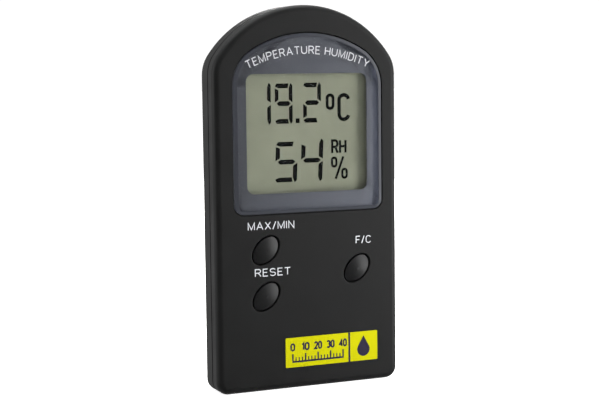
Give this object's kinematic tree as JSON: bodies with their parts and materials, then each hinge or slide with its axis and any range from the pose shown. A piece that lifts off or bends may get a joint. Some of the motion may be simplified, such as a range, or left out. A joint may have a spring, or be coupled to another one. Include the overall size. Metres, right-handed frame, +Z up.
{
  "type": "maximum minimum thermometer",
  "caption": "Arched battery thermometer and humidity display with oval push keys, sliding cell door, hanging keyhole and fold-out rear stand.",
  "frame": {"origin": "centre of the flat base, midway through the case depth", "axes": "+X to the right seen from the front, +Y from the display to the back, +Z up"},
  "size_m": [0.057, 0.016, 0.1102],
  "materials": {
    "cell_jacket": "plain cell jacket",
    "key_plastic": "charcoal moulded key",
    "ceramic": "tan ceramic block",
    "zinc_screw": "zinc-plated steel",
    "epoxy": "black epoxy",
    "board": "green solder mask",
    "carbon": "carbon-loaded pill",
    "spring_steel": "nickel-plated spring steel",
    "plated_steel": "nickel-plated can",
    "clear_lens": "clear acrylic",
    "front_plastic": "fine-textured charcoal ABS",
    "yellow_label": "yellow printed label",
    "sensor_shell": "white moulded shell",
    "silicone": "grey silicone",
    "lcd_glass": "display glass",
    "white_holder": "white ABS",
    "polariser": "grey-green film",
    "reflector": "reflective film",
    "black_lead": "black insulation",
    "red_lead": "red insulation",
    "mask_print": "blue-grey printed film",
    "black_tape": "black adhesive foam",
    "rear_plastic": "fine-textured charcoal ABS",
    "resistor_body": "black ceramic block",
    "bead": "epoxy-coated bead",
    "elastomer": "layered conductive elastomer"
  },
  "bodies": {
    "case": {"battery": "cell_jacket", "board_screw_left": "zinc_screw", "board_screw_right": "zinc_screw", "board_screw_top": "zinc_screw", "capacitor_clock": "ceramic", "capacitor_supply": "ceramic", "case_screw_high_left": "zinc_screw", "case_screw_high_right": "zinc_screw", "case_screw_low_left": "zinc_screw", "case_screw_low_right": "zinc_screw", "chip_blob": "epoxy", "circuit_board": "board", "contact_negative": "spring_steel", "contact_positive": "spring_steel", "crystal": "plated_steel", "display_lens": "clear_lens", "front_cover": "front_plastic", "front_label": "yellow_label", "humidity_sensor": "sensor_shell", "keypad_mat": "silicone", "lcd_glass_front": "lcd_glass", "lcd_glass_rear": "lcd_glass", "lcd_holder": "white_holder", "lcd_polarizer": "polariser", "lcd_reflector": "reflector", "lead_black": "black_lead", "lead_red": "red_lead", "lens_mask": "mask_print", "lens_tape": "black_tape", "rear_cover": "rear_plastic", "resistor_bias": "resistor_body", "resistor_clock": "resistor_body", "resistor_sense": "resistor_body", "thermistor": "bead", "zebra_strip": "elastomer"},
    "key_max_min": {"button_max_min": "key_plastic", "contact_pill_max_min": "carbon"},
    "key_reset": {"button_reset": "key_plastic", "contact_pill_reset": "carbon"},
    "key_unit": {"button_unit": "key_plastic", "contact_pill_unit": "carbon"},
    "stand": {"stand": "rear_plastic"},
    "battery_door": {"battery_door": "rear_plastic"}
  },
  "joints": [
    {"name": "press_max_min", "type": "slide", "parent": "case", "child": "key_max_min", "axis": [0, 1, 0], "range_m": [0, 0.001], "deforming": ["keypad_mat"]},
    {"name": "press_reset", "type": "slide", "parent": "case", "child": "key_reset", "axis": [0, 1, 0], "range_m": [0, 0.001], "deforming": ["keypad_mat"]},
    {"name": "press_unit", "type": "slide", "parent": "case", "child": "key_unit", "axis": [0, 1, 0], "range_m": [0, 0.001], "deforming": ["keypad_mat"]},
    {"name": "stand_hinge", "type": "hinge", "parent": "case", "child": "stand", "pos_m": [0, 0.0065, 0.0255], "axis": [-1, 0, 0], "range_deg": [0, 110]},
    {"name": "battery_door_slide", "type": "slide", "parent": "case", "child": "battery_door", "axis": [0, 0, -1], "range_m": [0, 0.0165]}
  ]
}
